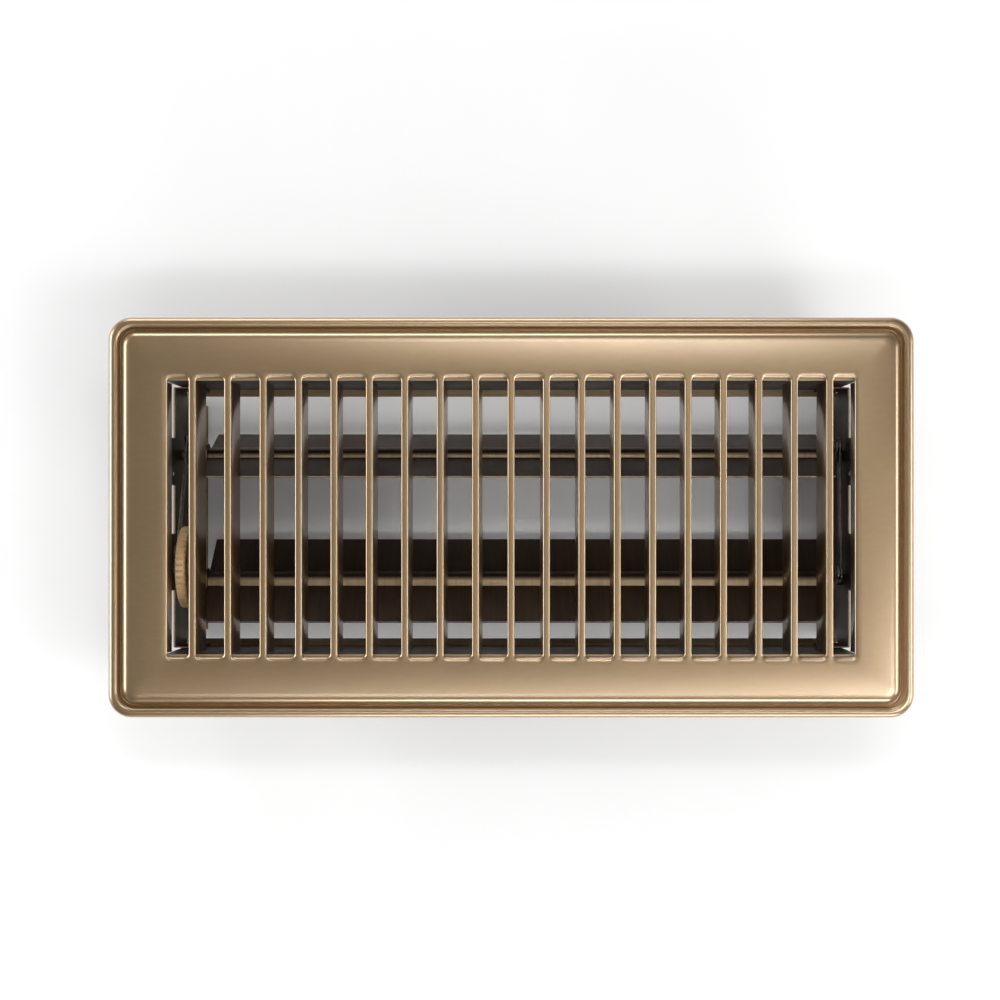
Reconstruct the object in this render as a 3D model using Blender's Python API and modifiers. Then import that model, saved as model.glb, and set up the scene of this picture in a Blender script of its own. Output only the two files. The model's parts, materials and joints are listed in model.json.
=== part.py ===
"""Louvred floor register: a stamped faceplate on a sheet-metal neck, with a two-blade damper and its thumbwheel.

Metres, +Z up. X runs along the faceplate and Y across it. The neck stands on z = 0 and the face looks up.
"""

import math

import bmesh
import bpy
from mathutils import Matrix

# Faceplate
FACE_LENGTH = 0.290
FACE_WIDTH = 0.144
FACE_TOP = 0.060
FACE_SHEET = 0.0009
FACE_CORNER = 0.0083
CORNER_TIGHTENING = 0.6  # how much of each step inwards comes off the corner's radius
# The pressed rim, from its lower edge to the flat field: distance in from the outside, and height.
RIM_PROFILE = (
    (0.0, 0.0555),
    (0.0, 0.0570),
    (0.0008, 0.0580),
    (0.0020, 0.0585),
    (0.0032, 0.0582),
    (0.0042, 0.0574),
    (0.0050, 0.0583),
    (0.0058, 0.0594),
    (0.0068, 0.0599),
    (0.0080, FACE_TOP),
)

# Openings and louvre webs
PITCH = 0.0127
STRIP_COUNT = 19
STRIP_WIDTH = 0.0026
END_SLOT_OUTER = 0.1233
SLOT_HALF_LENGTH = 0.0502
SLOT_CORNER = 0.0016
ROLL_DROP = 0.0006
ROLL_ALONG_STRIP = 0.0004
ROLL_AT_END = 0.0024
WEB_DEPTH = 0.0100
END_WEB_DEPTH = 0.0064
WEB_LEAN = math.radians(6)
OUTER_WEB_EXTRA_LEAN = math.radians(2)
EVEN_WEBS_TO_STRIP = 6
END_WEB_LEAN = math.radians(5)
WEB_BEND = 0.0003

# Neck
GAP = 0.0003  # between pieces that touch
NECK_SHEET = 0.0008
END_INNER = 0.1250
END_HALF_WIDTH = 0.0481
END_SHOULDER = 0.0370
EAR_TOP = 0.0583
REAR_EAR = (0.0120, 0.0295)
FRONT_EAR = (-0.0270, -0.0060)
EAR_TAB = 0.0060
FOOT_HALF_WIDTH = 0.0440
FOOT_RELIEF = 0.0020  # the notches that free the foot's fold reach this high
FOOT_FLANGE = 0.0050
SIDE_FLANGE = 0.0090
SIDE_FLANGE_HEIGHTS = (0.0170, 0.0350)
TOOLING_HOLE = (0.0162, 0.0400)
TOOLING_HOLE_RADIUS = 0.0014
RAIL_SHEET = 0.0007
RAIL_INNER = 0.0492
RAIL_BOTTOM = 0.0150
RAIL_TOP = 0.0578
RAIL_FOOT = 0.0027
RAIL_LIP = 0.0053

# Damper blades: an axis is (y, z), and a tilt is the angle from closed.
REAR_AXIS = (0.0236, 0.0250)
FRONT_AXIS = (-0.0236, 0.0250)
REAR_TILT = math.radians(68)
FRONT_TILT = math.radians(50)
REAR_MIDDLE_TILT = math.radians(41)
FRONT_MIDDLE_TILT = math.radians(30)
BLADE_CHORD = 0.0466
BLADE_SHEET = 0.0007
BLADE_LEFT = -0.1155
BLADE_RIGHT = 0.1192
BEAD_HALF_WIDTH = 0.0034
BEAD_HEIGHT = 0.0024
BEAD_STEPS = 6
EAR_RADIUS = 0.0044
EAR_LAP = 0.0003

# Pins, levers and links
PIN_RADIUS = 0.0015
PIN_HEAD_RADIUS = 0.0026
PIN_HEAD = 0.0006
SHOULDER_RADIUS = 0.0022
PIN_REACH = 0.0020
BORE_RADIUS = PIN_RADIUS + GAP
LEVER_SHEET = 0.0008
LINK_SHEET = 0.0007
HUB_RADIUS = 0.0036
SLEEVE_RADIUS = 0.0028
EYE_RADIUS = 0.0026
RIVET_RADIUS = 0.0012
RIVET_HOLE_RADIUS = 0.0015
RIVET_HEAD_RADIUS = 0.0020
RIVET_HEAD = 0.0005
LINK_HALF_WIDTH = 0.0019
DRIVE_RADIUS = 0.0075
REAR_TIE_RADIUS = 0.00735
FRONT_TIE_RADIUS = 0.0100
TIE_SLACK = 0.0005  # play in the tie link's rear hole, which its unequal levers need
TIE_EYE_RADIUS = 0.0031
TIE_LEVER_OUTER = 0.1221

# Thumbwheel
WHEEL_AXIS = (-0.0182, 0.0430)
WHEEL_RADIUS = 0.0150
WHEEL_OUTER = 0.1212
WHEEL_WIDTH = 0.0038
KNURL_TEETH = 44
KNURL_DEPTH = 0.0006
RECESS_RADII = (0.0050, 0.0125)
RECESS_DEPTH = 0.0011
WASHER_SEAT_RADIUS = 0.0040
WASHER_SEAT_DEPTH = 0.0016
WASHER_RADII = (0.0019, 0.0036)
WASHER_SHEET = 0.00025
WASHER_WAVE = 0.00012
WASHER_WAVES = 3
NUT_RADIUS = 0.0034
NUT_SHEET = 0.0004
NUT_HOLE_RADIUS = PIN_RADIUS + GAP / 2
CLIP_RADIUS = 0.0024
WHEEL_PIN_RADIUS = 0.0013
CLIP_HOLE_RADIUS = WHEEL_PIN_RADIUS + GAP / 2

ROUND_STEPS = 16
CORNER_STEPS = 5
SLOT_CORNER_STEPS = 2
MERGE = 0.00001

# Finishes: colour, roughness, metallic
BRONZE_PAINT = ((0.43, 0.34, 0.24), 0.38, 0.6)
DARK_PAINT = ((0.10, 0.075, 0.05), 0.55, 0.3)
BLADE_PAINT = ((0.20, 0.15, 0.10), 0.50, 0.4)
TAN_PLASTIC = ((0.50, 0.38, 0.25), 0.55, 0.0)
ZINC = ((0.55, 0.54, 0.52), 0.40, 1.0)

LEFT = -1
RIGHT = 1
FRONT = -1
REAR = 1
# Takes a flat outline from the XY plane to the YZ plane, with its thickness along X.
TO_YZ = Matrix(((0, 0, 1, 0), (1, 0, 0, 0), (0, 1, 0, 0), (0, 0, 0, 1)))


def clear_scene():
    for obj in list(bpy.data.objects):
        bpy.data.objects.remove(obj)


def new_collection(name):
    collection = bpy.data.collections.new(name)
    bpy.context.scene.collection.children.link(collection)
    return collection


def link(name, data, collection, finish=None):
    """A new object in the collection. With a finish it also gets a material of its own."""
    obj = bpy.data.objects.new(name, data)
    collection.objects.link(obj)
    if finish:
        colour, roughness, metallic = finish
        material = bpy.data.materials.new(name + "_finish")
        material.use_nodes = True
        shader = material.node_tree.nodes["Principled BSDF"]
        shader.inputs["Base Color"].default_value = (*colour, 1)
        shader.inputs["Roughness"].default_value = roughness
        shader.inputs["Metallic"].default_value = metallic
        data.materials.append(material)
    return obj


def add_modifier(obj, kind, **settings):
    modifier = obj.modifiers.new(kind.title(), kind)
    for key, value in settings.items():
        setattr(modifier, key, value)


def combine(target, tool, operation):
    """Joins the tool to the target, or cuts it out, and makes the tool a helper."""
    tool.hide_render = True
    tool.display_type = "WIRE"
    add_modifier(target, "BOOLEAN", operation=operation, object=tool)


def place(obj, x, axis, turn=0.0):
    """Puts a piece's origin on an axis along X, turned from +Y towards +Z."""
    obj.location = (x, *axis)
    obj.rotation_euler.x = turn


def beyond(axis, radius, angle):
    """The point at this radius from an axis, at an angle from +Y towards +Z."""
    return axis[0] + radius * math.cos(angle), axis[1] + radius * math.sin(angle)


# Outlines


def arc(centre, radius, start, end, steps):
    angles = (start + (end - start) * step / steps for step in range(steps + 1))
    return [beyond(centre, radius, angle) for angle in angles]


def circle(centre, radius, steps=ROUND_STEPS):
    return arc(centre, radius, 0, math.tau, steps)[:-1]


def rounded_rectangle(centre, half_x, half_y, radius, steps):
    """Counter-clockwise from the right side. Its left side is the edge in the middle, its right side the last."""
    points = []
    for quarter, (sign_x, sign_y) in enumerate(((1, 1), (-1, 1), (-1, -1), (1, -1))):
        corner = (centre[0] + sign_x * (half_x - radius), centre[1] + sign_y * (half_y - radius))
        start = quarter * math.pi / 2
        points += arc(corner, radius, start, start + math.pi / 2, steps)
    return points


def link_outline(length, eye_radius, half_width):
    """A bar along +Y with a round eye at each end, the first at the origin."""
    neck = math.asin(half_width / eye_radius)
    first = arc((0, 0), eye_radius, neck, math.tau - neck, ROUND_STEPS)
    last = arc((length, 0), eye_radius, neck - math.pi, math.pi - neck, ROUND_STEPS)
    return first + last


def lever_outline(length, hub_radius, eye_radius):
    """A tapered lever along +Y, with its hub at the origin."""
    lean = math.acos((hub_radius - eye_radius) / length)
    hub = arc((0, 0), hub_radius, lean, math.tau - lean, ROUND_STEPS)
    return hub + arc((length, 0), eye_radius, -lean, lean, ROUND_STEPS // 2)


def knurled_outline(radius, teeth, depth):
    count = 2 * teeth
    radii = (radius - depth * (step % 2) for step in range(count))
    return [beyond((0, 0), r, math.tau * step / count) for step, r in enumerate(radii)]


# Solids


def flat_plate(name, loops, thickness, collection, finish=None):
    """A flat piece in the YZ plane, centred on x = 0. The first loop is its outline and the others are holes."""
    curve = bpy.data.curves.new(name, "CURVE")
    curve.dimensions = "2D"
    curve.fill_mode = "BOTH"
    curve.extrude = thickness / 2
    for loop in loops:
        spline = curve.splines.new("POLY")
        spline.points.add(len(loop) - 1)
        for point, (y, z) in zip(spline.points, loop):
            point.co = (y, z, 0, 1)
        spline.use_cyclic_u = True
    outline = link(name + "_outline", curve, collection)
    graph = bpy.context.evaluated_depsgraph_get()
    mesh = bpy.data.meshes.new_from_object(outline.evaluated_get(graph))
    bpy.data.objects.remove(outline)
    bm = bmesh.new()
    bm.from_mesh(mesh)
    bmesh.ops.remove_doubles(bm, verts=bm.verts, dist=MERGE)
    bmesh.ops.transform(bm, matrix=TO_YZ, verts=bm.verts)
    bm.to_mesh(mesh)
    bm.free()
    mesh.name = name
    return link(name, mesh, collection, finish)


def turned(name, side, axis, profile, collection, finish=None, is_ring=False):
    """A round piece about an axis along X.

    Its profile is (radius, distance from the middle of the register), from its outer end to its inner end.
    A ring's profile closes on itself instead of ending on the axis.
    """
    inner = profile[-1][1]
    mesh = bpy.data.meshes.new(name)
    points = [(radius, 0, distance - inner) for radius, distance in profile]
    edges = [(i, i + 1) for i in range(len(points) - 1)]
    if is_ring:
        edges.append((len(points) - 1, 0))
    mesh.from_pydata(points, edges, [])
    obj = link(name, mesh, collection, finish)
    obj.location = (side * inner, *axis)
    obj.rotation_euler.y = side * math.pi / 2
    add_modifier(
        obj,
        "SCREW",
        axis="Z",
        angle=math.tau,
        steps=ROUND_STEPS,
        render_steps=ROUND_STEPS,
        use_merge_vertices=True,
        merge_threshold=MERGE,
        use_smooth_shade=True,
    )
    return obj


def plug(name, side, axis, radius, outer, inner):
    """A plain cylinder to join or to cut with."""
    profile = ((0, outer), (radius, outer), (radius, inner), (0, inner))
    return turned(name, side, axis, profile, HELPERS)


def ring_plug(name, side, axis, radii, outer, inner):
    profile = ((radii[0], outer), (radii[1], outer), (radii[1], inner), (radii[0], inner))
    return turned(name, side, axis, profile, HELPERS, is_ring=True)


# Sheet metal


def add_loop(bm, points):
    """The edges of a closed loop, in order."""
    verts = [bm.verts.new(point) for point in points]
    return [bm.edges.new(ends) for ends in zip(verts, verts[1:] + verts[:1])]


def fold(bm, edge, *moves):
    """Extrudes an edge of a sheet by each move in turn."""
    for move in moves:
        made = bmesh.ops.extrude_edge_only(bm, edges=[edge])["geom"]
        verts = [item for item in made if isinstance(item, bmesh.types.BMVert)]
        bmesh.ops.translate(bm, verts=verts, vec=move)
        edge = bm.edges.get(verts)


def sheet(name, bm, thickness, facing, finish, offset=-1):
    """An open surface made into a sheet. Its thickness goes behind the side that looks along facing."""
    bmesh.ops.recalc_face_normals(bm, faces=bm.faces)
    look = sum(face.calc_area() * face.normal.dot(facing) for face in bm.faces)
    if look < 0:
        bmesh.ops.reverse_faces(bm, faces=bm.faces)
    mesh = bpy.data.meshes.new(name)
    bm.to_mesh(mesh)
    bm.free()
    obj = link(name, mesh, REGISTER, finish)
    add_modifier(obj, "SOLIDIFY", thickness=thickness, offset=offset, use_even_offset=True)
    return obj


def slot_spans():
    """(left edge, right edge, side that its web hangs from) of each opening, from left to right."""
    last = STRIP_COUNT // 2
    edges = [-END_SLOT_OUTER]
    for strip in range(-last, last + 1):
        edges += [strip * PITCH - STRIP_WIDTH / 2, strip * PITCH + STRIP_WIDTH / 2]
    edges.append(END_SLOT_OUTER)
    return [(a, b, LEFT if a + b < 0 else RIGHT) for a, b in zip(edges[::2], edges[1::2])]


def slot_loop(bm, left, right, half_length, z):
    centre = ((left + right) / 2, 0)
    outline = rounded_rectangle(centre, (right - left) / 2, half_length, SLOT_CORNER, SLOT_CORNER_STEPS)
    return add_loop(bm, [(x, y, z) for x, y in outline])


def add_slot(bm, left, right, web_side):
    """An opening with rolled edges and its louvre web. Returns the edges where the roll leaves the field."""
    is_end = max(-left, right) >= END_SLOT_OUTER
    outer_roll = ROLL_AT_END if is_end else ROLL_ALONG_STRIP
    rolls = (outer_roll, ROLL_ALONG_STRIP) if web_side == LEFT else (ROLL_ALONG_STRIP, outer_roll)
    field_edges = slot_loop(bm, left - rolls[0], right + rolls[1], SLOT_HALF_LENGTH + ROLL_AT_END, FACE_TOP)
    hole_edges = slot_loop(bm, left, right, SLOT_HALF_LENGTH, FACE_TOP - ROLL_DROP)
    bmesh.ops.bridge_loops(bm, edges=field_edges + hole_edges)
    side_edge = hole_edges[len(hole_edges) // 2 - 1] if web_side == LEFT else hole_edges[-1]
    drop = (END_WEB_DEPTH if is_end else WEB_DEPTH) - ROLL_DROP - WEB_BEND
    strip = round(max(-left, right) / PITCH)
    extra_lean = OUTER_WEB_EXTRA_LEAN * max(0, strip - EVEN_WEBS_TO_STRIP)
    lean = END_WEB_LEAN if is_end else WEB_LEAN + extra_lean
    fold(
        bm,
        side_edge,
        (-web_side * WEB_BEND / 2, 0, -WEB_BEND),
        (-web_side * drop * math.tan(lean), 0, -drop),
    )
    return field_edges


def make_faceplate():
    bm = bmesh.new()
    loops = []
    for inset, z in RIM_PROFILE:
        radius = FACE_CORNER - inset * CORNER_TIGHTENING
        half_x = FACE_LENGTH / 2 - inset
        half_y = FACE_WIDTH / 2 - inset
        outline = rounded_rectangle((0, 0), half_x, half_y, radius, CORNER_STEPS)
        loops.append(add_loop(bm, [(x, y, z) for x, y in outline]))
    for lower, upper in zip(loops, loops[1:]):
        bmesh.ops.bridge_loops(bm, edges=lower + upper)
    field = loops[-1]
    for left, right, web_side in slot_spans():
        field = field + add_slot(bm, left, right, web_side)
    bmesh.ops.triangle_fill(bm, edges=field, use_beauty=True, normal=(0, 0, 1))
    return sheet("faceplate", bm, FACE_SHEET, (0, 0, 1), BRONZE_PAINT)


def make_end_plate(name, side, holes):
    """One end of the neck: a plate with two ears up to the field, and flanges folded inwards.

    Each hole is ((y, z), radius).
    """
    bottom = NECK_SHEET
    flange_low, flange_high = SIDE_FLANGE_HEIGHTS
    outline = [
        (-FOOT_HALF_WIDTH, bottom),
        (FOOT_HALF_WIDTH, bottom),
        (FOOT_HALF_WIDTH, FOOT_RELIEF),
        (END_HALF_WIDTH, FOOT_RELIEF),
        (END_HALF_WIDTH, flange_low),
        (END_HALF_WIDTH, flange_high),
        (END_HALF_WIDTH, END_SHOULDER),
        (REAR_EAR[1], END_SHOULDER),
        (REAR_EAR[1], EAR_TOP),
        (REAR_EAR[0], EAR_TOP),
        (REAR_EAR[0], END_SHOULDER),
        (FRONT_EAR[1], END_SHOULDER),
        (FRONT_EAR[1], EAR_TOP),
        (FRONT_EAR[0], EAR_TOP),
        (FRONT_EAR[0], END_SHOULDER),
        (-END_HALF_WIDTH, END_SHOULDER),
        (-END_HALF_WIDTH, flange_high),
        (-END_HALF_WIDTH, flange_low),
        (-END_HALF_WIDTH, FOOT_RELIEF),
        (-FOOT_HALF_WIDTH, FOOT_RELIEF),
    ]
    x = side * END_INNER
    bm = bmesh.new()
    border = add_loop(bm, [(x, y, z) for y, z in outline])
    edges = list(border)
    for centre, radius in holes:
        edges += add_loop(bm, [(x, y, z) for y, z in circle(centre, radius)])
    bmesh.ops.triangle_fill(bm, edges=edges, use_beauty=True, normal=(1, 0, 0))
    foot, rear_flange, rear_tab, front_tab, front_flange = (border[i] for i in (0, 4, 8, 12, 16))
    fold(bm, foot, (-side * FOOT_FLANGE, 0, 0))
    for edge in (rear_flange, front_flange):
        fold(bm, edge, (-side * SIDE_FLANGE, 0, 0))
    for edge in (rear_tab, front_tab):
        fold(bm, edge, (side * EAR_TAB, 0, 0))
    return sheet(name, bm, NECK_SHEET, (-side, 0, 0), DARK_PAINT)


def make_side_rail(name, side):
    """A long side of the neck, with a foot folded inwards and a lip folded outwards under the field."""
    foot_top = RAIL_BOTTOM + RAIL_SHEET
    section = (
        (RAIL_INNER - RAIL_FOOT, foot_top),
        (RAIL_INNER, foot_top),
        (RAIL_INNER, RAIL_TOP),
        (RAIL_INNER + RAIL_LIP, RAIL_TOP),
    )
    half = END_INNER - GAP
    bm = bmesh.new()
    extrude_section(bm, [(side * y, z) for y, z in section], -half, half)
    return sheet(name, bm, RAIL_SHEET, (0, -side, 0), DARK_PAINT)


def extrude_section(bm, section, x_from, x_to):
    """An open section in the YZ plane, drawn out along X."""
    verts = [bm.verts.new((x_from, y, z)) for y, z in section]
    edges = [bm.edges.new(ends) for ends in zip(verts, verts[1:])]
    made = bmesh.ops.extrude_edge_only(bm, edges=edges)["geom"]
    moved = [item for item in made if isinstance(item, bmesh.types.BMVert)]
    bmesh.ops.translate(bm, verts=moved, vec=(x_to - x_from, 0, 0))


# Damper


def make_blade(name, axis, tilt):
    """A sheet with a bead over its pivot pins, closed at both ends by round ears. It lies flat when closed."""
    section = [(-BLADE_CHORD / 2, 0)]
    for step in range(BEAD_STEPS + 1):
        across = -math.cos(math.pi * step / BEAD_STEPS)
        up = math.sin(math.pi * step / BEAD_STEPS)
        section.append((across * BEAD_HALF_WIDTH, up * BEAD_HEIGHT))
    section.append((BLADE_CHORD / 2, 0))
    bm = bmesh.new()
    extrude_section(bm, section, BLADE_LEFT + EAR_LAP, BLADE_RIGHT - EAR_LAP)
    blade = sheet(name, bm, BLADE_SHEET, (0, 0, 1), BLADE_PAINT, offset=0)
    place(blade, 0, axis, -tilt)
    ear_loops = [circle((0, 0), EAR_RADIUS), circle((0, 0), BORE_RADIUS)]
    for label, x in (("left", BLADE_LEFT + BLADE_SHEET / 2), ("right", BLADE_RIGHT - BLADE_SHEET / 2)):
        ear = flat_plate(f"{name}_ear_{label}", ear_loops, BLADE_SHEET, HELPERS)
        place(ear, x, axis, -tilt)
        combine(blade, ear, "UNION")
    return blade


def make_lever(name, blade, side, axis, length, angle, outer, blade_end):
    """A lever on a blade's end, with a sleeve that rides on the pivot pin and is welded to the blade's ear."""
    outline = lever_outline(length, HUB_RADIUS, EYE_RADIUS)
    lever = flat_plate(name, [outline, circle((length, 0), RIVET_HOLE_RADIUS)], LEVER_SHEET, REGISTER, ZINC)
    place(lever, side * (outer - LEVER_SHEET / 2), axis, angle)
    sleeve = plug(name + "_sleeve", side, axis, SLEEVE_RADIUS, outer - LEVER_SHEET / 4, blade_end + GAP)
    combine(lever, sleeve, "UNION")
    combine(lever, plug(name + "_bore", side, axis, BORE_RADIUS, outer + GAP, blade_end - GAP), "DIFFERENCE")
    keep_in_place(lever, blade)
    return lever


def keep_in_place(child, parent):
    """Parents a piece without moving it."""
    bpy.context.view_layer.update()
    child.parent = parent
    child.matrix_parent_inverse = parent.matrix_world.inverted()


def make_pivot_pin(name, side, axis, shoulder_inner, tip):
    """A shouldered pin riveted in an end plate, from its outside head to its tip inside the blade's bead."""
    plate_outer = END_INNER + NECK_SHEET + GAP
    profile = (
        (0, plate_outer + PIN_HEAD),
        (PIN_HEAD_RADIUS * 0.7, plate_outer + PIN_HEAD),
        (PIN_HEAD_RADIUS, plate_outer + PIN_HEAD / 2),
        (PIN_HEAD_RADIUS, plate_outer),
        (PIN_RADIUS, plate_outer),
        (PIN_RADIUS, END_INNER - GAP),
        (SHOULDER_RADIUS, END_INNER - GAP),
        (SHOULDER_RADIUS, shoulder_inner),
        (PIN_RADIUS, shoulder_inner),
        (PIN_RADIUS, tip),
        (0, tip),
    )
    return turned(name, side, axis, profile, REGISTER, ZINC)


def make_rivet(name, side, axis, outer, inner):
    """A rivet through a link and a lever: its two heads bear at outer and inner."""
    profile = (
        (0, outer + RIVET_HEAD),
        (RIVET_HEAD_RADIUS * 0.6, outer + RIVET_HEAD),
        (RIVET_HEAD_RADIUS, outer + RIVET_HEAD / 2),
        (RIVET_HEAD_RADIUS, outer),
        (RIVET_RADIUS, outer),
        (RIVET_RADIUS, inner),
        (RIVET_HEAD_RADIUS, inner),
        (RIVET_HEAD_RADIUS, inner - RIVET_HEAD),
        (0, inner - RIVET_HEAD),
    )
    return turned(name, side, axis, profile, REGISTER, ZINC)


def make_link(name, side, start, end, outer, eye_radius, hole_radii):
    """A flat bar from one pin to another, each (y, z), with its origin on the first."""
    across, up = end[0] - start[0], end[1] - start[1]
    length = math.hypot(across, up)
    loops = [
        link_outline(length, eye_radius, LINK_HALF_WIDTH),
        circle((0, 0), hole_radii[0]),
        circle((length, 0), hole_radii[1]),
    ]
    bar = flat_plate(name, loops, LINK_SHEET, REGISTER, ZINC)
    place(bar, side * (outer - LINK_SHEET / 2), start, math.atan2(up, across))
    return bar


# Thumbwheel


def make_thumbwheel(angle):
    """A knurled wheel with a recessed inner face, a seat for the washer and a crank pin on its outer face."""
    inner = WHEEL_OUTER - WHEEL_WIDTH
    outline = knurled_outline(WHEEL_RADIUS, KNURL_TEETH, KNURL_DEPTH)
    wheel = flat_plate("thumbwheel", [outline], WHEEL_WIDTH, REGISTER, TAN_PLASTIC)
    place(wheel, -(WHEEL_OUTER - WHEEL_WIDTH / 2), WHEEL_AXIS, angle)
    recess = ring_plug("wheel_recess", LEFT, WHEEL_AXIS, RECESS_RADII, inner + RECESS_DEPTH, inner - GAP)
    combine(wheel, recess, "DIFFERENCE")
    pin_axis = beyond(WHEEL_AXIS, DRIVE_RADIUS, angle)
    pin_end = WHEEL_OUTER + LINK_SHEET + NUT_SHEET + 3 * GAP
    pin = plug("wheel_pin", LEFT, pin_axis, WHEEL_PIN_RADIUS, pin_end, WHEEL_OUTER - RECESS_DEPTH)
    combine(wheel, pin, "UNION")
    seat = plug("wheel_washer_seat", LEFT, WHEEL_AXIS, WASHER_SEAT_RADIUS, inner + WASHER_SEAT_DEPTH, inner - GAP)
    combine(wheel, seat, "DIFFERENCE")
    bore = plug("wheel_bore", LEFT, WHEEL_AXIS, BORE_RADIUS, WHEEL_OUTER + GAP, inner - GAP)
    combine(wheel, bore, "DIFFERENCE")
    return wheel


def make_spring_washer(x):
    """A ring of thin spring steel with a wave in it."""
    bm = bmesh.new()
    loops = []
    for radius in WASHER_RADII:
        ring = circle((0, 0), radius)
        waves = (WASHER_WAVE * math.sin(WASHER_WAVES * math.atan2(z, y)) for y, z in ring)
        loops.append(add_loop(bm, [(x, y, z) for x, (y, z) in zip(waves, ring)]))
    bmesh.ops.bridge_loops(bm, edges=loops[0] + loops[1])
    washer = sheet("wheel_spring_washer", bm, WASHER_SHEET, (1, 0, 0), ZINC, offset=0)
    place(washer, x, WHEEL_AXIS)
    return washer


def make_push_nut(name, x, axis, radius, hole_radius):
    nut = flat_plate(name, [circle((0, 0), radius), circle((0, 0), hole_radius)], NUT_SHEET, REGISTER, ZINC)
    place(nut, x, axis)
    return nut


def make_wheel_group(angle):
    """The thumbwheel on its stud, with the washer and nut in its seat and the clip on its crank pin."""
    wheel = make_thumbwheel(angle)
    seat_floor = WHEEL_OUTER - WHEEL_WIDTH + WASHER_SEAT_DEPTH
    washer_x = seat_floor - GAP - WASHER_WAVE - WASHER_SHEET / 2
    nut_x = washer_x - WASHER_SHEET / 2 - WASHER_WAVE - GAP - NUT_SHEET / 2
    make_spring_washer(-washer_x)
    make_push_nut("wheel_push_nut", -nut_x, WHEEL_AXIS, NUT_RADIUS, NUT_HOLE_RADIUS)
    make_pivot_pin("wheel_stud", LEFT, WHEEL_AXIS, WHEEL_OUTER + GAP, nut_x - NUT_SHEET)
    pin_axis = beyond(WHEEL_AXIS, DRIVE_RADIUS, angle)
    clip_x = WHEEL_OUTER + GAP + LINK_SHEET + GAP + NUT_SHEET / 2
    clip = make_push_nut("drive_link_clip", -clip_x, pin_axis, CLIP_RADIUS, CLIP_HOLE_RADIUS)
    keep_in_place(clip, wheel)


def make_drive(rear_blade):
    """The wheel, its link and the rear blade's left lever: equal radii, square to the link at mid travel."""
    slope = math.atan2(REAR_AXIS[1] - WHEEL_AXIS[1], REAR_AXIS[0] - WHEEL_AXIS[0])
    angle = slope + math.pi / 2 - (REAR_TILT - REAR_MIDDLE_TILT)
    make_wheel_group(angle)
    start = beyond(WHEEL_AXIS, DRIVE_RADIUS, angle)
    end = beyond(REAR_AXIS, DRIVE_RADIUS, angle)
    link_outer = WHEEL_OUTER + GAP + LINK_SHEET
    make_link("drive_link", LEFT, start, end, link_outer, EYE_RADIUS, (RIVET_HOLE_RADIUS + GAP / 2,) * 2)
    make_lever(
        "rear_crank_left", rear_blade, LEFT, REAR_AXIS, DRIVE_RADIUS, angle, WHEEL_OUTER, -BLADE_LEFT
    )
    rivet_inner = WHEEL_OUTER - LEVER_SHEET - GAP
    rivet = make_rivet("drive_link_rivet", LEFT, end, link_outer + GAP, rivet_inner)
    keep_in_place(rivet, rear_blade)


def make_tie(rear_blade, front_blade):
    """The right-hand levers and the link between them: both levers stand upright at mid travel."""
    pins = []
    link_outer = TIE_LEVER_OUTER + GAP + LINK_SHEET
    rivet_inner = TIE_LEVER_OUTER - LEVER_SHEET - GAP
    for label, blade, axis, radius, opened in (
        ("front", front_blade, FRONT_AXIS, FRONT_TIE_RADIUS, FRONT_TILT - FRONT_MIDDLE_TILT),
        ("rear", rear_blade, REAR_AXIS, REAR_TIE_RADIUS, REAR_TILT - REAR_MIDDLE_TILT),
    ):
        angle = math.pi / 2 - opened
        name = f"{label}_crank_right"
        make_lever(name, blade, RIGHT, axis, radius, angle, TIE_LEVER_OUTER, BLADE_RIGHT)
        pins.append(beyond(axis, radius, angle))
        rivet = make_rivet(f"tie_link_rivet_{label}", RIGHT, pins[-1], link_outer + GAP, rivet_inner)
        keep_in_place(rivet, blade)
    rear_hole = RIVET_RADIUS + TIE_SLACK
    make_link("tie_link", RIGHT, *pins, link_outer, TIE_EYE_RADIUS, (RIVET_HOLE_RADIUS, rear_hole))


def make_neck():
    pivots = [(REAR_AXIS, BORE_RADIUS), (FRONT_AXIS, BORE_RADIUS), (TOOLING_HOLE, TOOLING_HOLE_RADIUS)]
    make_end_plate("end_plate_left", LEFT, pivots + [(WHEEL_AXIS, BORE_RADIUS)])
    make_end_plate("end_plate_right", RIGHT, pivots)
    make_side_rail("side_rail_front", FRONT)
    make_side_rail("side_rail_rear", REAR)


def make_pivot_pins():
    left_tip = -BLADE_LEFT - PIN_REACH
    right_tip = BLADE_RIGHT - PIN_REACH
    make_pivot_pin("front_pivot_pin_left", LEFT, FRONT_AXIS, -BLADE_LEFT + GAP, left_tip)
    make_pivot_pin("rear_pivot_pin_left", LEFT, REAR_AXIS, WHEEL_OUTER + GAP, left_tip)
    make_pivot_pin("front_pivot_pin_right", RIGHT, FRONT_AXIS, TIE_LEVER_OUTER + GAP, right_tip)
    make_pivot_pin("rear_pivot_pin_right", RIGHT, REAR_AXIS, TIE_LEVER_OUTER + GAP, right_tip)


def main():
    make_faceplate()
    make_neck()
    make_pivot_pins()
    front_blade = make_blade("front_blade", FRONT_AXIS, FRONT_TILT)
    rear_blade = make_blade("rear_blade", REAR_AXIS, REAR_TILT)
    make_drive(rear_blade)
    make_tie(rear_blade, front_blade)


clear_scene()
REGISTER = new_collection("floor_register")
HELPERS = new_collection("cutters")
main()
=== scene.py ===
"""The looks of the floor register: a fine faceplate, a fine wheel, and finishes for the rest."""

import json
import math

import bmesh
import bpy
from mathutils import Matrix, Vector
from mathutils.geometry import delaunay_2d_cdt


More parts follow.
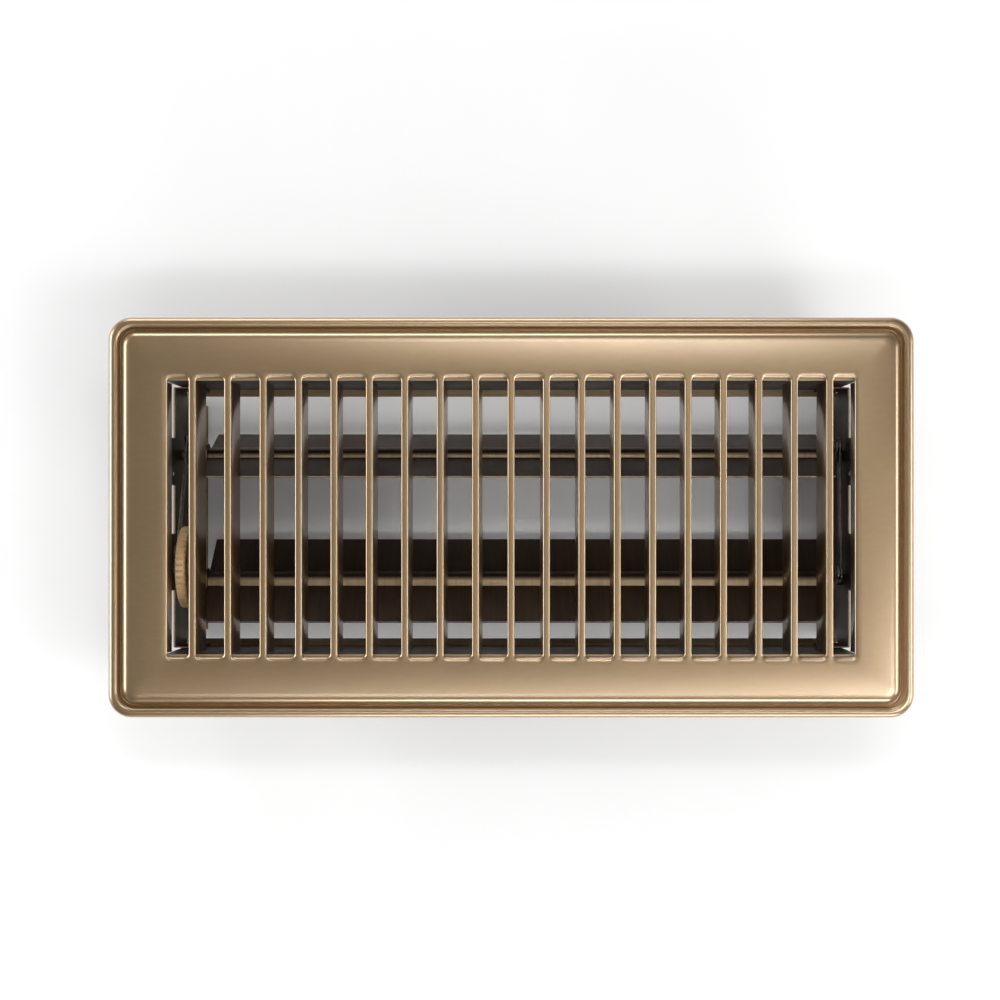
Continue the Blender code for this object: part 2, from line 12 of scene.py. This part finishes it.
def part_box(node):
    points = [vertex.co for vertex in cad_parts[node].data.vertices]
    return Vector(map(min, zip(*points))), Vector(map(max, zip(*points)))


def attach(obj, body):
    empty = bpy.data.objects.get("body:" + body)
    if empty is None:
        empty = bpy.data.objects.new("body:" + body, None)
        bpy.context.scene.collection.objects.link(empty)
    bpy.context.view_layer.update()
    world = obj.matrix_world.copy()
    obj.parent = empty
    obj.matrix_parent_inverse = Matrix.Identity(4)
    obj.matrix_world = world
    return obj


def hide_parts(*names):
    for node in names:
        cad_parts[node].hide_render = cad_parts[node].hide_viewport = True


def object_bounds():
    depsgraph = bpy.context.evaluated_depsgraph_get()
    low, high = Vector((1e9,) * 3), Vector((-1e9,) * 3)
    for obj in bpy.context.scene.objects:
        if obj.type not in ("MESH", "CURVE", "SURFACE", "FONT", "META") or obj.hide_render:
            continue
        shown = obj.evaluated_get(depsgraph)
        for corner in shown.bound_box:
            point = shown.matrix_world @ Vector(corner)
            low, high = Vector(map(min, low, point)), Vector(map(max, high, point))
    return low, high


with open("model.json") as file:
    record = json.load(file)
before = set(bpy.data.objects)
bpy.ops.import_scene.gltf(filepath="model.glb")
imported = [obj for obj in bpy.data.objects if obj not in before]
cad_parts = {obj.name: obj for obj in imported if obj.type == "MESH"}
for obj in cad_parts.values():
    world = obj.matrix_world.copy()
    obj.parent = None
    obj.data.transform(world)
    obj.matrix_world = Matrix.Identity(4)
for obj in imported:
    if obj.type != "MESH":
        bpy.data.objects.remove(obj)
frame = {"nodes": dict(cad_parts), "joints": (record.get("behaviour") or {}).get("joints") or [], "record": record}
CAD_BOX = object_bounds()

# Faceplate: its outside and its top come from the frame.
FACE_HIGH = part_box("faceplate")[1]
FACE_TOP = FACE_HIGH.z
FACE_SHEET = 0.0008
FACE_CORNER = 0.0083
CORNER_TIGHTENING = 0.6  # how much of each step inwards comes off the corner's radius
CORNER_STEPS = 10
FACE_SHARP_DEGREES = 40

# The pressed rim: distance in from the outside, and depth below the field
RIM_PROFILE = (
    (0.0, 0.0045),
    (0.0, 0.0032),
    (0.0007, 0.0021),
    (0.0020, 0.0016),
    (0.0031, 0.0019),
    (0.0038, 0.0029),
    (0.0045, 0.0035),
    (0.0050, 0.0028),
    (0.0056, 0.0014),
    (0.0065, 0.0006),
    (0.0076, 0.0002),
    (0.0090, 0.0),
)
RIM_STEPS = 4

# Openings, and the strips between them
PITCH = 0.0127
STRIP_COUNT = 19
LAST_STRIP = STRIP_COUNT // 2  # the strips are numbered from 0 in the middle
STRIP_WIDTH = 0.0026
END_SLOT_OUTER = 0.1233
SLOT_HALF_LENGTH = 0.0502
SLOT_CORNER = 0.0017
SLOT_CORNER_STEPS = 5
ROLL_STEPS = 5
ROLL_DROP = 0.0007
ROLL_ALONG_STRIP = 0.00085
ROLL_AT_END = 0.0026
ROLL_CORNER_GROWTH = 0.5

# Louvre webs, bent down from the openings
WEB_DEPTH = 0.0100
END_WEB_DEPTH = 0.0064
BEND_SHARE = 0.1  # of a web's depth
WEB_LEAN = math.radians(6)
EVEN_WEBS_TO_STRIP = 6
EXTRA_LEAN = math.radians(2)  # for each strip beyond that one
END_WEB_LEAN = math.radians(5)

# Triangulation of the field
TRIANGLES_INSIDE = 1  # output type
FILL_TOLERANCE = 1e-7

# Thumbwheel
WHEEL_RADIUS = 0.0150
WHEEL_WIDTH = 0.0038
WHEEL_BORE = 0.0018
KNURL_TEETH = 44
KNURL_DEPTH = 0.0007
STEPS_PER_TOOTH = 6
# Distance out from its inner face, radius, and share of the knurl's depth
WHEEL_PROFILE = (
    (WHEEL_WIDTH, WHEEL_BORE, 0),
    (WHEEL_WIDTH, 0.0136, 0),
    (WHEEL_WIDTH - 0.0002, 0.0144, 0.3),
    (WHEEL_WIDTH - 0.0006, WHEEL_RADIUS, 1),
    (0.0006, WHEEL_RADIUS, 1),
    (0.0002, 0.0144, 0.3),
    (0.0, 0.0136, 0),
    (0.0, 0.0126, 0),
    (0.0011, 0.0124, 0),
    (0.0011, 0.0052, 0),
    (0.0, 0.0050, 0),
    (0.0, 0.0040, 0),
    (0.0016, 0.0040, 0),
    (0.0016, WHEEL_BORE, 0),
)

# The wheel's crank pin: a flared root and a chamfered tip
PIN_RADIUS = 0.0013
PIN_ROOT_RADIUS = 1.5 * PIN_RADIUS
PIN_TIP_RADIUS = 0.75 * PIN_RADIUS
PIN_FLARE = 0.0002
PIN_CHAMFER = 0.0003
PIN_STEPS = 32

# CAD nodes that stay
WELD_DISTANCE = 0.00001
SOFT_EDGE = 0.00015
SPRING_SOFT_EDGE = 0.00005
SOFT_EDGE_DEGREES = 40
SHARP_DEGREES = 35

# Colours, each as its darker and its lighter tone in 0 to 255 sRGB values
BRONZE = (162, 132, 90), (167, 137, 94)
# Painted shade: the darker, browner tone for the webs and the rim's groove
SHADE_BRONZE = (138, 102, 54), (156, 118, 66)
# Painted highlight: lighter bronze for the upward faces of the dark parts
BRONZE_TOP_HIGHLIGHT = (176, 150, 116), (200, 176, 142)
NECK_BROWN = (44, 30, 17), (54, 38, 22)
BLADE_BROWN = (40, 26, 13), (66, 46, 25)
TAN = (168, 136, 92), (196, 164, 116)
ZINC = (84, 80, 74), (128, 124, 116)
SPRING_STEEL = (120, 120, 122), (158, 158, 162)

# Painted shade: the faceplate darkens from the first of these heights down to the second, down the webs and in the
# rim's groove.
UNSHADED_ABOVE = FACE_TOP - 0.0020
FULL_SHADE_BELOW = FACE_TOP - 0.0038
# Painted highlight: how far a surface must face up to be lightened towards bronze, as if lit from above
TOP_HIGHLIGHT_FROM = 0.80
TOP_HIGHLIGHT_FULL = 0.98
BLOTCH_LIGHTENING = 1.25
# A noise's share of its scale along each axis: a small share draws the marks out that way.
MARKS_ALONG_NECK = (0.05, 1, 1)
MARKS_ACROSS_BLADES = (1, 0.06, 0.06)
MARKS_ALONG_PLATE = (0.3, 1, 1)
SCRATCHES = (1, 0.15, 1)

NOISE_ROUGHNESS = 0.6
BUMP_DISTANCE = 0.0001

# Surroundings
FLOOR_GAP = 0.0002  # keeps the floor from sharing a plane with the feet
FLOOR_HALF_SIZE = 5
FLOOR_WHITE = (0.93, 0.93, 0.93), (0.95, 0.95, 0.95)  # linear
WORLD_STRENGTH = 0.15
# Area lights: name, place, size and watts. They all aim at the middle of the field.
LIGHTS = (
    ("key", (0.58, -0.33, 0.92), (0.34, 0.34), 2.4),
    ("top_glow", (0.08, 0.37, 1.04), (0.44, 0.12), 1.6),
    ("front_glow", (0.08, -0.38, 1.04), (0.80, 0.12), 1.75),
    ("right_low", (1.05, -0.15, 0.48), (0.7, 0.3), 4.8),
    ("front_low", (0.20, -1.05, 0.45), (0.9, 0.3), 6.6),
    ("left_low", (-1.00, 0.10, 0.40), (0.8, 0.3), 6.4),
    ("back_low", (-0.15, 1.00, 0.42), (0.9, 0.3), 5.2),
)

# Camera: straight down, with the plate a little right of and below the frame's middle
CAMERA_HEIGHT = 0.597  # above the face
CAMERA_SIDE = 0.006
LENS = 60
SENSOR = 36
PLATE_RIGHT_SHARE = 0.011  # of the frame's width
PLATE_DOWN_SHARE = 0.0175


# Materials


def linear(colour):
    """A colour given as 0 to 255 sRGB values, as linear values."""
    shares = (value / 255 for value in colour)
    return tuple(s / 12.92 if s <= 0.04045 else ((s + 0.055) / 1.055) ** 2.4 for s in shares)


class Finish:
    """A Principled material and short ways to add texture nodes to it."""

    def __init__(self, name, roughness, metallic):
        self.material = bpy.data.materials.new(name)
        self.material.use_nodes = True
        self.nodes = self.material.node_tree.nodes
        self.links = self.material.node_tree.links
        self.shader = self.nodes["Principled BSDF"]
        self.fix("Roughness", roughness)
        self.fix("Metallic", metallic)
        coordinates = self.nodes.new("ShaderNodeTexCoord").outputs
        self.place = coordinates["Object"]
        self.height = self.upright_part(coordinates["Object"])
        self.up = self.upright_part(coordinates["Normal"])

    def fix(self, socket, value):
        self.shader.inputs[socket].default_value = value

    def feed(self, socket, source):
        self.links.new(source, self.shader.inputs[socket])

    def upright_part(self, vector):
        separate = self.nodes.new("ShaderNodeSeparateXYZ")
        self.links.new(vector, separate.inputs["Vector"])
        return separate.outputs["Z"]

    def noise(self, scale, stretch=(1, 1, 1), detail=4):
        mapping = self.nodes.new("ShaderNodeMapping")
        mapping.inputs["Scale"].default_value = stretch
        self.links.new(self.place, mapping.inputs["Vector"])
        texture = self.nodes.new("ShaderNodeTexNoise")
        texture.inputs["Scale"].default_value = scale
        texture.inputs["Detail"].default_value = detail
        texture.inputs["Roughness"].default_value = NOISE_ROUGHNESS
        self.links.new(mapping.outputs["Vector"], texture.inputs["Vector"])
        return texture.outputs["Fac"]

    def ramp(self, source, tones, start=0.25, end=0.75):
        """The first to the second of two linear colours, as the source goes from start to end."""
        ramp = self.nodes.new("ShaderNodeValToRGB")
        for element, position, tone in zip(ramp.color_ramp.elements, (start, end), tones):
            element.position = position
            element.color = (*tone, 1)
        self.links.new(source, ramp.inputs["Fac"])
        return ramp.outputs["Color"]

    def span(self, source, low, high, source_low=0.3, source_high=0.7):
        """A range of the source, by default a noise's middle range, mapped to low and high."""
        mapped = self.nodes.new("ShaderNodeMapRange")
        mapped.inputs["From Min"].default_value = source_low
        mapped.inputs["From Max"].default_value = source_high
        mapped.inputs["To Min"].default_value = low
        mapped.inputs["To Max"].default_value = high
        self.links.new(source, mapped.inputs["Value"])
        return mapped.outputs["Result"]

    def mix(self, share, first, second):
        """Two colours, mixed. The Mix node's sockets share names, so these are found by type."""
        mixed = self.nodes.new("ShaderNodeMix")
        mixed.data_type = "RGBA"
        colours_in = [socket for socket in mixed.inputs if socket.type == "RGBA"]
        colour_out = next(socket for socket in mixed.outputs if socket.type == "RGBA")
        self.links.new(share, mixed.inputs["Factor"])
        self.links.new(first, colours_in[0])
        self.links.new(second, colours_in[1])
        return colour_out

    def bump(self, source, strength):
        bump = self.nodes.new("ShaderNodeBump")
        bump.inputs["Strength"].default_value = strength
        bump.inputs["Distance"].default_value = BUMP_DISTANCE
        self.links.new(source, bump.inputs["Height"])
        self.links.new(bump.outputs["Normal"], self.shader.inputs["Normal"])


def bronze_paint():
    """Satin metallic paint with painted shade, darker down the webs and in the rim's groove, with fine flake and
    faint marks.
    """
    finish = Finish("bronze_paint", roughness=0.4, metallic=0.85)
    grain = finish.noise(700, MARKS_ALONG_PLATE, detail=3)
    face = finish.ramp(grain, map(linear, BRONZE))
    # Painted shade: a darker, browner tone below the top, down the webs and in the rim's groove
    painted_shade = finish.ramp(grain, map(linear, SHADE_BRONZE))
    unshaded_share = finish.span(finish.height, 0, 1, FULL_SHADE_BELOW, UNSHADED_ABOVE)
    finish.feed("Base Color", finish.mix(unshaded_share, painted_shade, face))
    finish.feed("Roughness", finish.span(finish.noise(35), 0.32, 0.36))
    finish.bump(finish.noise(3600, detail=2), 0.012)
    finish.fix("Coat Weight", 0.9)
    finish.fix("Coat IOR", 2.1)
    finish.fix("Coat Roughness", 0.27)
    return finish.material


def dark_paint(name, tones, roughness, metallic, top_highlight, stretch):
    """Thin brown paint with drawing marks and blotches, and a painted highlight of lighter bronze on what faces
    up.
    """
    finish = Finish(name, roughness, metallic)
    low, high = map(linear, tones)
    marks = finish.noise(700, stretch, detail=3)
    blotches = finish.noise(45, detail=5)
    colour = finish.ramp(marks, (low, high))
    lighter = tuple(BLOTCH_LIGHTENING * part for part in high)
    blotchy = finish.ramp(blotches, (low, lighter), 0.35, 0.80)
    painted = finish.mix(finish.span(blotches, 0.15, 0.6), colour, blotchy)
    # Painted highlight: faces that point up turn towards lighter bronze, as if lit from above
    painted_highlight = finish.ramp(marks, map(linear, BRONZE_TOP_HIGHLIGHT))
    upward = finish.span(finish.up, 0, top_highlight, TOP_HIGHLIGHT_FROM, TOP_HIGHLIGHT_FULL)
    finish.feed("Base Color", finish.mix(upward, painted, painted_highlight))
    finish.feed("Roughness", finish.span(blotches, roughness - 0.08, roughness + 0.1))
    finish.bump(marks, 0.12)
    return finish.material


def tan_plastic():
    """Moulded plastic with a fine grain and darker, handled patches."""
    finish = Finish("tan_plastic", roughness=0.5, metallic=0.0)
    patches = finish.noise(130, detail=5)
    finish.feed("Base Color", finish.ramp(patches, map(linear, TAN), 0.30, 0.72))
    finish.feed("Roughness", finish.span(patches, 0.42, 0.6))
    finish.bump(finish.noise(2600, detail=3), 0.15)
    return finish.material


def bare_metal(name, tones, roughness):
    """Dull plated steel with small cloudy spangles and fine scratches."""
    finish = Finish(name, roughness, metallic=0.95)
    clouds = finish.noise(420)
    finish.feed("Base Color", finish.ramp(clouds, map(linear, tones), 0.3, 0.7))
    finish.feed("Roughness", finish.span(clouds, roughness - 0.07, roughness + 0.12))
    finish.bump(finish.noise(1800, SCRATCHES, detail=2), 0.08)
    return finish.material


def table_white():
    finish = Finish("table_white", roughness=0.65, metallic=0.0)
    finish.feed("Base Color", finish.ramp(finish.noise(9), FLOOR_WHITE, 0.3, 0.7))
    return finish.material


# Meshes


def beyond(centre, radius, angle):
    """The point at this radius from a centre, at this angle."""
    return centre[0] + radius * math.cos(angle), centre[1] + radius * math.sin(angle)


def rounded_rectangle(centre, half_x, half_y, radius, steps):
    """Counter-clockwise from the right side.

    The left side is the edge in the middle of the points, and the right side closes them.
    """
    points = []
    for quarter, (sign_x, sign_y) in enumerate(((1, 1), (-1, 1), (-1, -1), (1, -1))):
        corner = (centre[0] + sign_x * (half_x - radius), centre[1] + sign_y * (half_y - radius))
        for step in range(steps + 1):
            points.append(beyond(corner, radius, math.pi / 2 * (quarter + step / steps)))
    return points


def smooth_profile(points, steps):
    """More points through the given ones, on a Catmull-Rom curve."""
    known = [Vector(p) for p in points]
    ends = [known[0], *known, known[-1]]
    fine = []
    for before, start, end, after in zip(ends, ends[1:], ends[2:], ends[3:]):
        slope = end - before
        square = 2 * before - 5 * start + 4 * end - after
        cube = 3 * start - before - 3 * end + after
        for step in range(steps):
            t = step / steps
            fine.append(0.5 * (2 * start + slope * t + square * t**2 + cube * t**3))
    fine.append(known[-1])
    return fine


def rings(bm, outlines):
    """Closed rings of points, each joined to the next by a band of faces."""
    made = [[bm.verts.new(point) for point in outline] for outline in outlines]
    for first, second in zip(made, made[1:]):
        band(bm, first, second)
    return made


def band(bm, first, second):
    for a, b, c, d in zip(first, first[1:] + first[:1], second[1:] + second[:1], second):
        bm.faces.new((a, b, c, d))


def fill_field(bm, border, openings):
    """Triangles over the flat field between its border and the convex openings in it."""
    loops = [border, *openings]
    verts = [vert for loop in loops for vert in loop]
    loop_of = [index for index, loop in enumerate(loops) for _ in loop]
    number = {vert: index for index, vert in enumerate(verts)}
    pairs = []
    for loop in loops:
        pairs += [(number[start], number[end]) for start, end in zip(loop, loop[1:] + loop[:1])]
    places = [vert.co.xy for vert in verts]
    result = delaunay_2d_cdt(places, pairs, [], TRIANGLES_INSIDE, FILL_TOLERANCE)
    triangles, sources = result[2], result[3]
    for triangle in triangles:
        corners = [sources[corner][0] for corner in triangle]
        touched = {loop_of[corner] for corner in corners}
        is_in_opening = len(touched) == 1 and touched != {0}
        if not is_in_opening:
            bm.faces.new([verts[corner] for corner in corners])


def fold(bm, edge, *moves):
    """Extrudes an edge of a sheet by each move in turn."""
    for move in moves:
        made = bmesh.ops.extrude_edge_only(bm, edges=[edge])["geom"]
        verts = [item for item in made if isinstance(item, bmesh.types.BMVert)]
        bmesh.ops.translate(bm, verts=verts, vec=move)
        edge = bm.edges.get(verts)


def piece(name, bm, material, sharp_degrees=SHARP_DEGREES):
    mesh = bpy.data.meshes.new(name)
    bm.to_mesh(mesh)
    bm.free()
    mesh.materials.append(material)
    mesh.shade_smooth()
    mesh.set_sharp_from_angle(angle=math.radians(sharp_degrees))
    obj = bpy.data.objects.new(name, mesh)
    bpy.context.scene.collection.objects.link(obj)
    return obj


def stand_for(obj, body, node):
    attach(obj, body)
    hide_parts(node)


# Faceplate


def slot_spans():
    """Each opening's left edge, right edge, web's side and strip beside the web, left to right."""
    edges = [-END_SLOT_OUTER]
    for strip in range(-LAST_STRIP, LAST_STRIP + 1):
        edges += [strip * PITCH - STRIP_WIDTH / 2, strip * PITCH + STRIP_WIDTH / 2]
    edges.append(END_SLOT_OUTER)
    spans = []
    for left, right in zip(edges[::2], edges[1::2]):
        side = -1 if left + right < 0 else 1
        web_edge = left if side < 0 else right
        spans.append((left, right, side, round(abs(web_edge) / PITCH)))
    return spans


def add_slot(bm, left, right, side, strip):
    """An opening with rolled edges, and its web. Returns the ring where the roll meets the top."""
    is_end = strip > LAST_STRIP
    outer = ROLL_AT_END if is_end else ROLL_ALONG_STRIP
    roll_left, roll_right = (outer, ROLL_ALONG_STRIP) if side < 0 else (ROLL_ALONG_STRIP, outer)
    outlines = []
    for step in range(ROLL_STEPS + 1):
        turn = math.pi / 2 * step / ROLL_STEPS
        out, drop = 1 - math.sin(turn), 1 - math.cos(turn)
        low, high = left - roll_left * out, right + roll_right * out
        outline = rounded_rectangle(
            ((low + high) / 2, 0),
            (high - low) / 2,
            SLOT_HALF_LENGTH + ROLL_AT_END * out,
            SLOT_CORNER * (1 + ROLL_CORNER_GROWTH * out),
            SLOT_CORNER_STEPS,
        )
        outlines.append([(x, y, FACE_TOP - ROLL_DROP * drop) for x, y in outline])
    made = rings(bm, outlines)
    hole = made[-1]
    middle = len(hole) // 2
    edge = bm.edges.get((hole[middle - 1], hole[middle]) if side < 0 else (hole[-1], hole[0]))
    add_web(bm, edge, side, strip)
    return made[0]


def add_web(bm, edge, side, strip):
    """The louvre web below an opening's edge: a short bend at half its lean, then the flat."""
    if strip > LAST_STRIP:
        lean, depth = END_WEB_LEAN, END_WEB_DEPTH
    else:
        lean = WEB_LEAN + EXTRA_LEAN * max(0, strip - EVEN_WEBS_TO_STRIP)
        depth = WEB_DEPTH
    drop = depth - ROLL_DROP
    bend = drop * BEND_SHARE
    slant = -side * math.tan(lean)
    fold(bm, edge, (slant * bend / 2, 0, -bend), (slant * (drop - bend), 0, bend - drop))


def make_faceplate(material):
    bm = bmesh.new()
    outlines = []
    for inset, depth in smooth_profile(RIM_PROFILE, RIM_STEPS):
        # Between its points the curve goes a little past the outside and the top.
        inset, depth = max(0.0, inset), max(0.0, depth)
        corner = FACE_CORNER - inset * CORNER_TIGHTENING
        outline = rounded_rectangle(
            (0, 0), FACE_HIGH.x - inset, FACE_HIGH.y - inset, corner, CORNER_STEPS
        )
        outlines.append([(x, y, FACE_TOP - depth) for x, y in outline])
    border = rings(bm, outlines)[-1]
    fill_field(bm, border, [add_slot(bm, *span) for span in slot_spans()])
    # Recalculation can turn an open sheet over, so the field is made to face up.
    bmesh.ops.recalc_face_normals(bm, faces=bm.faces)
    if sum(face.calc_area() * face.normal.z for face in bm.faces) < 0:
        bmesh.ops.reverse_faces(bm, faces=bm.faces)
    face = piece("louvred_face", bm, material, FACE_SHARP_DEGREES)
    solidify = face.modifiers.new("Sheet", "SOLIDIFY")
    solidify.thickness = FACE_SHEET
    solidify.offset = -1
    solidify.use_even_offset = True
    stand_for(face, "register_frame", "faceplate")


# Thumbwheel


def joint_place(name):
    return next(joint["pos_m"] for joint in frame["joints"] if joint["name"] == name)


def make_thumbwheel(material):
    """A ring of quads about the wheel's axis. The knurl waves only the rim of the profile."""
    low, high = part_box("thumbwheel")
    axis = joint_place("wheel_turn")
    count = KNURL_TEETH * STEPS_PER_TOOTH
    outlines = []
    for out, radius, share in WHEEL_PROFILE:
        outline = []
        for step in range(count):
            angle = math.tau * step / count
            cut = KNURL_DEPTH * share * (0.5 - 0.5 * math.cos(KNURL_TEETH * angle))
            outline.append((high.x - out, *beyond(axis[1:], radius - cut, angle)))
        outlines.append(outline)
    bm = bmesh.new()
    made = rings(bm, outlines)
    band(bm, made[-1], made[0])
    bmesh.ops.recalc_face_normals(bm, faces=bm.faces)
    stand_for(piece("knurled_wheel", bm, material), "wheel", "thumbwheel")
    make_wheel_pin(material, low.x, high.x - WHEEL_WIDTH)


def make_wheel_pin(material, tip, root):
    pivot = joint_place("drive_link_swing")
    profile = (
        (root, PIN_ROOT_RADIUS),
        (root - PIN_FLARE, PIN_RADIUS),
        (tip + PIN_CHAMFER, PIN_RADIUS),
        (tip, PIN_TIP_RADIUS),
    )
    angles = [math.tau * step / PIN_STEPS for step in range(PIN_STEPS)]
    bm = bmesh.new()
    made = rings(
        bm, [[(x, *beyond(pivot[1:], radius, angle)) for angle in angles] for x, radius in profile]
    )
    for end in (made[0], made[-1]):
        bm.faces.new(end)
    bmesh.ops.recalc_face_normals(bm, faces=bm.faces)
    stand_for(piece("wheel_crank_pin", bm, material), "wheel", "thumbwheel")


# CAD nodes that stay


def refine(node, material, edge):
    """Gives a CAD node its finish, softened edges and smooth round faces."""
    obj = frame["nodes"][node]
    obj.data.materials.clear()
    obj.data.materials.append(material)
    weld = obj.modifiers.new("Weld", "WELD")
    weld.merge_threshold = WELD_DISTANCE
    bevel = obj.modifiers.new("Soft edges", "BEVEL")
    bevel.width = edge
    bevel.segments = 2
    bevel.limit_method = "ANGLE"
    bevel.angle_limit = math.radians(SOFT_EDGE_DEGREES)
    bevel.use_clamp_overlap = True
    normals = obj.modifiers.new("Normals", "WEIGHTED_NORMAL")
    normals.keep_sharp = False


def refine_cad_nodes():
    neck = dark_paint(
        "neck_paint",
        NECK_BROWN,
        roughness=0.5,
        metallic=0.45,
        top_highlight=0.8,
        stretch=MARKS_ALONG_NECK,
    )
    blades = dark_paint(
        "blade_paint",
        BLADE_BROWN,
        roughness=0.44,
        metallic=0.45,
        top_highlight=0.9,
        stretch=MARKS_ACROSS_BLADES,
    )
    finishes = {
        "dark_paint": neck,
        "blade_paint": blades,
        "zinc_plate": bare_metal("zinc_plate", ZINC, roughness=0.36),
        "spring_steel": bare_metal("spring_steel", SPRING_STEEL, roughness=0.28),
    }
    for entry in frame["record"]["subparts"]:
        slot = entry["material_slot"]
        if slot in finishes:
            edge = SPRING_SOFT_EDGE if slot == "spring_steel" else SOFT_EDGE
            refine(entry["node"], finishes[slot], edge)


# Surroundings


def area_light(name, place, size, watts):
    light = bpy.data.lights.new(name, "AREA")
    light.shape = "RECTANGLE"
    light.size, light.size_y = size
    light.energy = watts
    obj = bpy.data.objects.new(name, light)
    bpy.context.scene.collection.objects.link(obj)
    obj.location = place
    to_field = Vector((0, 0, FACE_TOP)) - obj.location
    obj.rotation_euler = to_field.to_track_quat("-Z", "Y").to_euler()


def make_studio():
    bm = bmesh.new()
    bmesh.ops.create_grid(bm, x_segments=1, y_segments=1, size=FLOOR_HALF_SIZE)
    floor = piece("table", bm, table_white())
    floor.location.z = CAD_BOX[0].z - FLOOR_GAP
    world = bpy.data.worlds.new("studio")
    world.use_nodes = True
    background = world.node_tree.nodes["Background"]
    background.inputs["Color"].default_value = (1.0, 1.0, 1.0, 1)
    background.inputs["Strength"].default_value = WORLD_STRENGTH
    bpy.context.scene.world = world
    for light in LIGHTS:
        area_light(*light)
    bpy.context.scene.view_settings.view_transform = "Standard"


def make_camera():
    camera = bpy.data.cameras.new("camera")
    camera.lens = LENS
    camera.sensor_width = SENSOR
    camera.shift_x = -(PLATE_RIGHT_SHARE + CAMERA_SIDE * LENS / SENSOR / CAMERA_HEIGHT)
    camera.shift_y = PLATE_DOWN_SHARE
    obj = bpy.data.objects.new("camera", camera)
    bpy.context.scene.collection.objects.link(obj)
    obj.location = (CAMERA_SIDE, 0, FACE_TOP + CAMERA_HEIGHT)
    bpy.context.scene.camera = obj


make_camera()
make_faceplate(bronze_paint())
make_thumbwheel(tan_plastic())
refine_cad_nodes()
make_studio()
